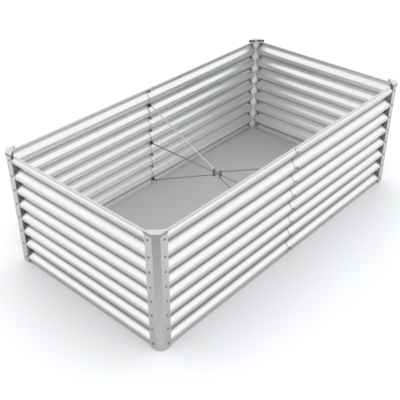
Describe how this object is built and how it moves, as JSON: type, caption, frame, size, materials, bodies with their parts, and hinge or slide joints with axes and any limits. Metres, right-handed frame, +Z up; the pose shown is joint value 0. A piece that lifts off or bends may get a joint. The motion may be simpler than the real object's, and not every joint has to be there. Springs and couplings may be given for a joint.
{
  "type": "raised garden bed",
  "caption": "Rectangular raised garden bed of corrugated galvanised steel with faceted corner posts, corner caps and inner tie rods.",
  "frame": {"origin": "centre of the footprint, on the ground under the posts' feet", "axes": "+X along the long walls, +Y across the bed, +Z up"},
  "size_m": [1.8386, 0.982, 0.61],
  "materials": {
    "panel_sheet": "satin galvanised",
    "post_sheet": "satin galvanised",
    "cap": "satin",
    "fastener": "zinc plated",
    "anchor": "dark zinc",
    "rod": "zinc plated",
    "hub": "zinc plated"
  },
  "bodies": {
    "root": {"corner_post_front_left": "post_sheet", "corner_cap_front_left": "cap", "post_bolts_front_left": "fastener", "post_washers_front_left": "fastener", "post_nuts_front_left": "fastener", "corner_post_front_right": "post_sheet", "corner_cap_front_right": "cap", "post_bolts_front_right": "fastener", "post_washers_front_right": "fastener", "post_nuts_front_right": "fastener", "corner_post_back_right": "post_sheet", "corner_cap_back_right": "cap", "post_bolts_back_right": "fastener", "post_washers_back_right": "fastener", "post_nuts_back_right": "fastener", "corner_post_back_left": "post_sheet", "corner_cap_back_left": "cap", "post_bolts_back_left": "fastener", "post_washers_back_left": "fastener", "post_nuts_back_left": "fastener", "panel_front_left": "panel_sheet", "panel_front_right": "panel_sheet", "panel_back_left": "panel_sheet", "panel_back_right": "panel_sheet", "panel_end_left": "panel_sheet", "panel_end_right": "panel_sheet", "seam_bolts_front": "fastener", "seam_washers_front": "fastener", "seam_nuts_front": "fastener", "rod_outer_washers_front": "fastener", "rod_outer_nuts_front": "fastener", "rod_anchor_washers_front": "anchor", "rod_anchor_nuts_front": "anchor", "tie_rod_front_top": "rod", "tie_rod_front_middle": "rod", "tie_rod_front_bottom": "rod", "hub_plate_front": "hub", "seam_bolts_back": "fastener", "seam_washers_back": "fastener", "seam_nuts_back": "fastener", "rod_outer_washers_back": "fastener", "rod_outer_nuts_back": "fastener", "rod_anchor_washers_back": "anchor", "rod_anchor_nuts_back": "anchor", "tie_rod_back_top": "rod", "tie_rod_back_middle": "rod", "tie_rod_back_bottom": "rod", "hub_plate_back": "hub", "hub_sleeve": "rod", "hub_nuts": "fastener"}
  },
  "joints": []
}
